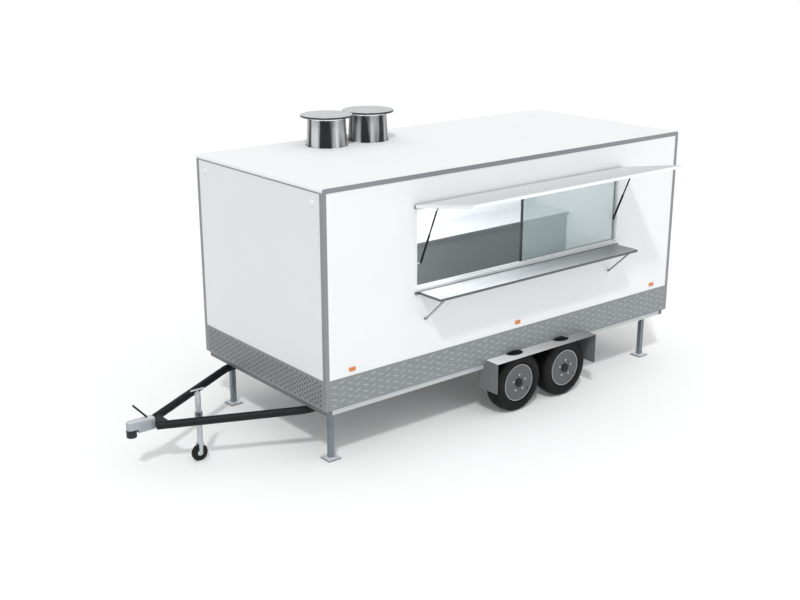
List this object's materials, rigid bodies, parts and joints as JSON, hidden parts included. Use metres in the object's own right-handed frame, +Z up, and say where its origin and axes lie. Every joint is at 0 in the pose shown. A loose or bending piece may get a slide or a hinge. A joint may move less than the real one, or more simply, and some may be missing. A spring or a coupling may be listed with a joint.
{
  "type": "food trailer",
  "caption": "Boxy white towed serving trailer with a raised hatch on gas struts, a fold-down counter shelf, sliding panes, roof vents and a tube drawbar.",
  "frame": {"origin": "on the ground, under the middle of the whole trailer's box as it stands with the hatch open", "axes": "+X from the coupling to the rear, +Y from the serving side to the far side, +Z up"},
  "size_m": [6.558, 3.2344, 3.074],
  "materials": {
    "white_panel": "smooth white sandwich panel with a soft gloss",
    "floor_board": "dark coated floor board",
    "white_metal": "white powder coat",
    "dark_frame": "dark coated steel tube",
    "frame_grey": "mid grey coated steel rail",
    "grey_coat": "light grey coated pressing",
    "black_metal": "black satin coat",
    "zinc": "galvanised steel",
    "aluminium_trim": "mill aluminium",
    "checker_plate": "raised five-bar checker plate",
    "hatch_skin": "satin aluminium sheet",
    "brushed_steel": "brushed stainless steel",
    "dark_steel": "dark brushed steel front",
    "polished_steel": "polished stainless steel",
    "dark_profile": "dark window profile",
    "pane": "clear pane with a faint green tint",
    "orange_lamp": "orange lamp lens",
    "clear_lamp": "clear lamp lens",
    "red_lamp": "red lamp lens",
    "black_plastic": "black moulded plastic",
    "tyre": "black road tyre",
    "rim_grey": "satin grey wheel disc",
    "jockey_rubber": "solid black rubber",
    "jockey_plastic": "light grey wheel hub"
  },
  "bodies": {
    "trailer": {"chassis_rails": "frame_grey", "cross_members": "frame_grey", "drawbar": "dark_frame", "coupling_head": "grey_coat", "coupling_fittings": "black_metal", "jockey_clamp": "zinc", "axles": "dark_frame", "floor_panel": "floor_board", "front_wall": "white_panel", "serving_wall": "white_panel", "far_wall": "white_panel", "rear_wall": "white_panel", "roof_panel": "white_panel", "edge_trims": "aluminium_trim", "skirt_plates": "checker_plate", "mudguards": "aluminium_trim", "wheel_boxes": "aluminium_trim", "counter_base": "dark_steel", "worktop": "brushed_steel", "sink": "brushed_steel", "window_frame": "white_metal", "window_sashes": "dark_profile", "window_panes": "pane", "roof_vents": "polished_steel", "side_markers": "orange_lamp", "front_lamps": "clear_lamp", "rear_lamps": "red_lamp", "hinge_fittings": "brushed_steel", "shelf_fittings": "brushed_steel"},
    "hatch": {"hatch_frame": "white_metal", "hatch_panel": "hatch_skin"},
    "strut_cylinders": {"strut_cylinders": "black_metal"},
    "strut_rods": {"strut_rods": "black_metal"},
    "shelf": {"serving_shelf": "brushed_steel"},
    "shelf_stays": {"shelf_stays": "black_metal"},
    "rear_door": {"rear_door": "white_panel", "door_kick_plate": "checker_plate", "door_handle": "black_plastic"},
    "jockey_post": {"jockey_post": "zinc"},
    "jockey_fork": {"jockey_fork": "zinc"},
    "jockey_wheel": {"jockey_tyre": "jockey_rubber", "jockey_hub": "jockey_plastic"},
    "wheel_front_serving": {"tyre_front_serving": "tyre", "rim_front_serving": "rim_grey"},
    "wheel_front_far": {"tyre_front_far": "tyre", "rim_front_far": "rim_grey"},
    "wheel_rear_serving": {"tyre_rear_serving": "tyre", "rim_rear_serving": "rim_grey"},
    "wheel_rear_far": {"tyre_rear_far": "tyre", "rim_rear_far": "rim_grey"},
    "leg_front_serving": {"leg_front_serving": "zinc"},
    "leg_front_far": {"leg_front_far": "zinc"},
    "leg_rear_serving": {"leg_rear_serving": "zinc"},
    "leg_rear_far": {"leg_rear_far": "zinc"}
  },
  "joints": [
    {"name": "hatch_hinge", "type": "hinge", "parent": "trailer", "child": "hatch", "pos_m": [0.794, -0.79583, 2.418], "axis": [1, 0, 0], "range_deg": [0, 100]},
    {"name": "strut_swing", "type": "hinge", "parent": "trailer", "child": "strut_cylinders", "pos_m": [0.794, -0.77384, 1.86], "axis": [-1, 0, 0], "range_deg": [0, 22.49]},
    {"name": "strut_slide", "type": "slide", "parent": "strut_cylinders", "child": "strut_rods", "axis": [0, 0.3826, -0.9239], "range_m": [0, 0.27791]},
    {"name": "shelf_fold", "type": "hinge", "parent": "trailer", "child": "shelf", "pos_m": [0.794, -0.81183, 1.545], "axis": [1, 0, 0], "range_deg": [0, 90]},
    {"name": "stay_swing", "type": "hinge", "parent": "trailer", "child": "shelf_stays", "pos_m": [0.794, -0.80183, 1.285], "axis": [1, 0, 0], "range_deg": [0, 133.47]},
    {"name": "door_hinge", "type": "hinge", "parent": "trailer", "child": "rear_door", "pos_m": [3.247, -0.63084, 1.58], "axis": [0, 0, -1], "range_deg": [0, 110]},
    {"name": "wheel_front_serving_spin", "type": "hinge", "parent": "trailer", "child": "wheel_front_serving", "pos_m": [0.675, -0.80334, 0.3275], "axis": [0, 1, 0], "continuous": true},
    {"name": "wheel_front_far_spin", "type": "hinge", "parent": "trailer", "child": "wheel_front_far", "pos_m": [0.675, 1.45166, 0.3275], "axis": [0, 1, 0], "continuous": true},
    {"name": "wheel_rear_serving_spin", "type": "hinge", "parent": "trailer", "child": "wheel_rear_serving", "pos_m": [1.385, -0.80334, 0.3275], "axis": [0, 1, 0], "continuous": true},
    {"name": "wheel_rear_far_spin", "type": "hinge", "parent": "trailer", "child": "wheel_rear_far", "pos_m": [1.385, 1.45166, 0.3275], "axis": [0, 1, 0], "continuous": true},
    {"name": "leg_front_serving_swing", "type": "hinge", "parent": "trailer", "child": "leg_front_serving", "pos_m": [-1.581, -0.58183, 0.5], "axis": [0, -1, 0], "range_deg": [0, 90]},
    {"name": "leg_front_far_swing", "type": "hinge", "parent": "trailer", "child": "leg_front_far", "pos_m": [-1.581, 1.23016, 0.5], "axis": [0, -1, 0], "range_deg": [0, 90]},
    {"name": "leg_rear_serving_swing", "type": "hinge", "parent": "trailer", "child": "leg_rear_serving", "pos_m": [3.047, -0.58183, 0.5], "axis": [0, 1, 0], "range_deg": [0, 90]},
    {"name": "leg_rear_far_swing", "type": "hinge", "parent": "trailer", "child": "leg_rear_far", "pos_m": [3.047, 1.23016, 0.5], "axis": [0, 1, 0], "range_deg": [0, 90]},
    {"name": "jockey_lift", "type": "slide", "parent": "trailer", "child": "jockey_post", "axis": [0, 0, 1], "range_m": [0, 0.25]},
    {"name": "jockey_swivel", "type": "hinge", "parent": "jockey_post", "child": "jockey_fork", "pos_m": [-2.579, 0.19917, 0.175], "axis": [0, 0, 1], "continuous": true},
    {"name": "jockey_roll", "type": "hinge", "parent": "jockey_fork", "child": "jockey_wheel", "pos_m": [-2.592, 0.19917, 0.083], "axis": [0, 1, 0], "continuous": true}
  ],
  "couplings": [
    {"joint": "strut_swing", "follows": "hatch_hinge", "ratio": 0.22494},
    {"joint": "strut_slide", "follows": "hatch_hinge", "m_per_rad": 0.15923},
    {"joint": "stay_swing", "follows": "shelf_fold", "ratio": 1.4829}
  ]
}
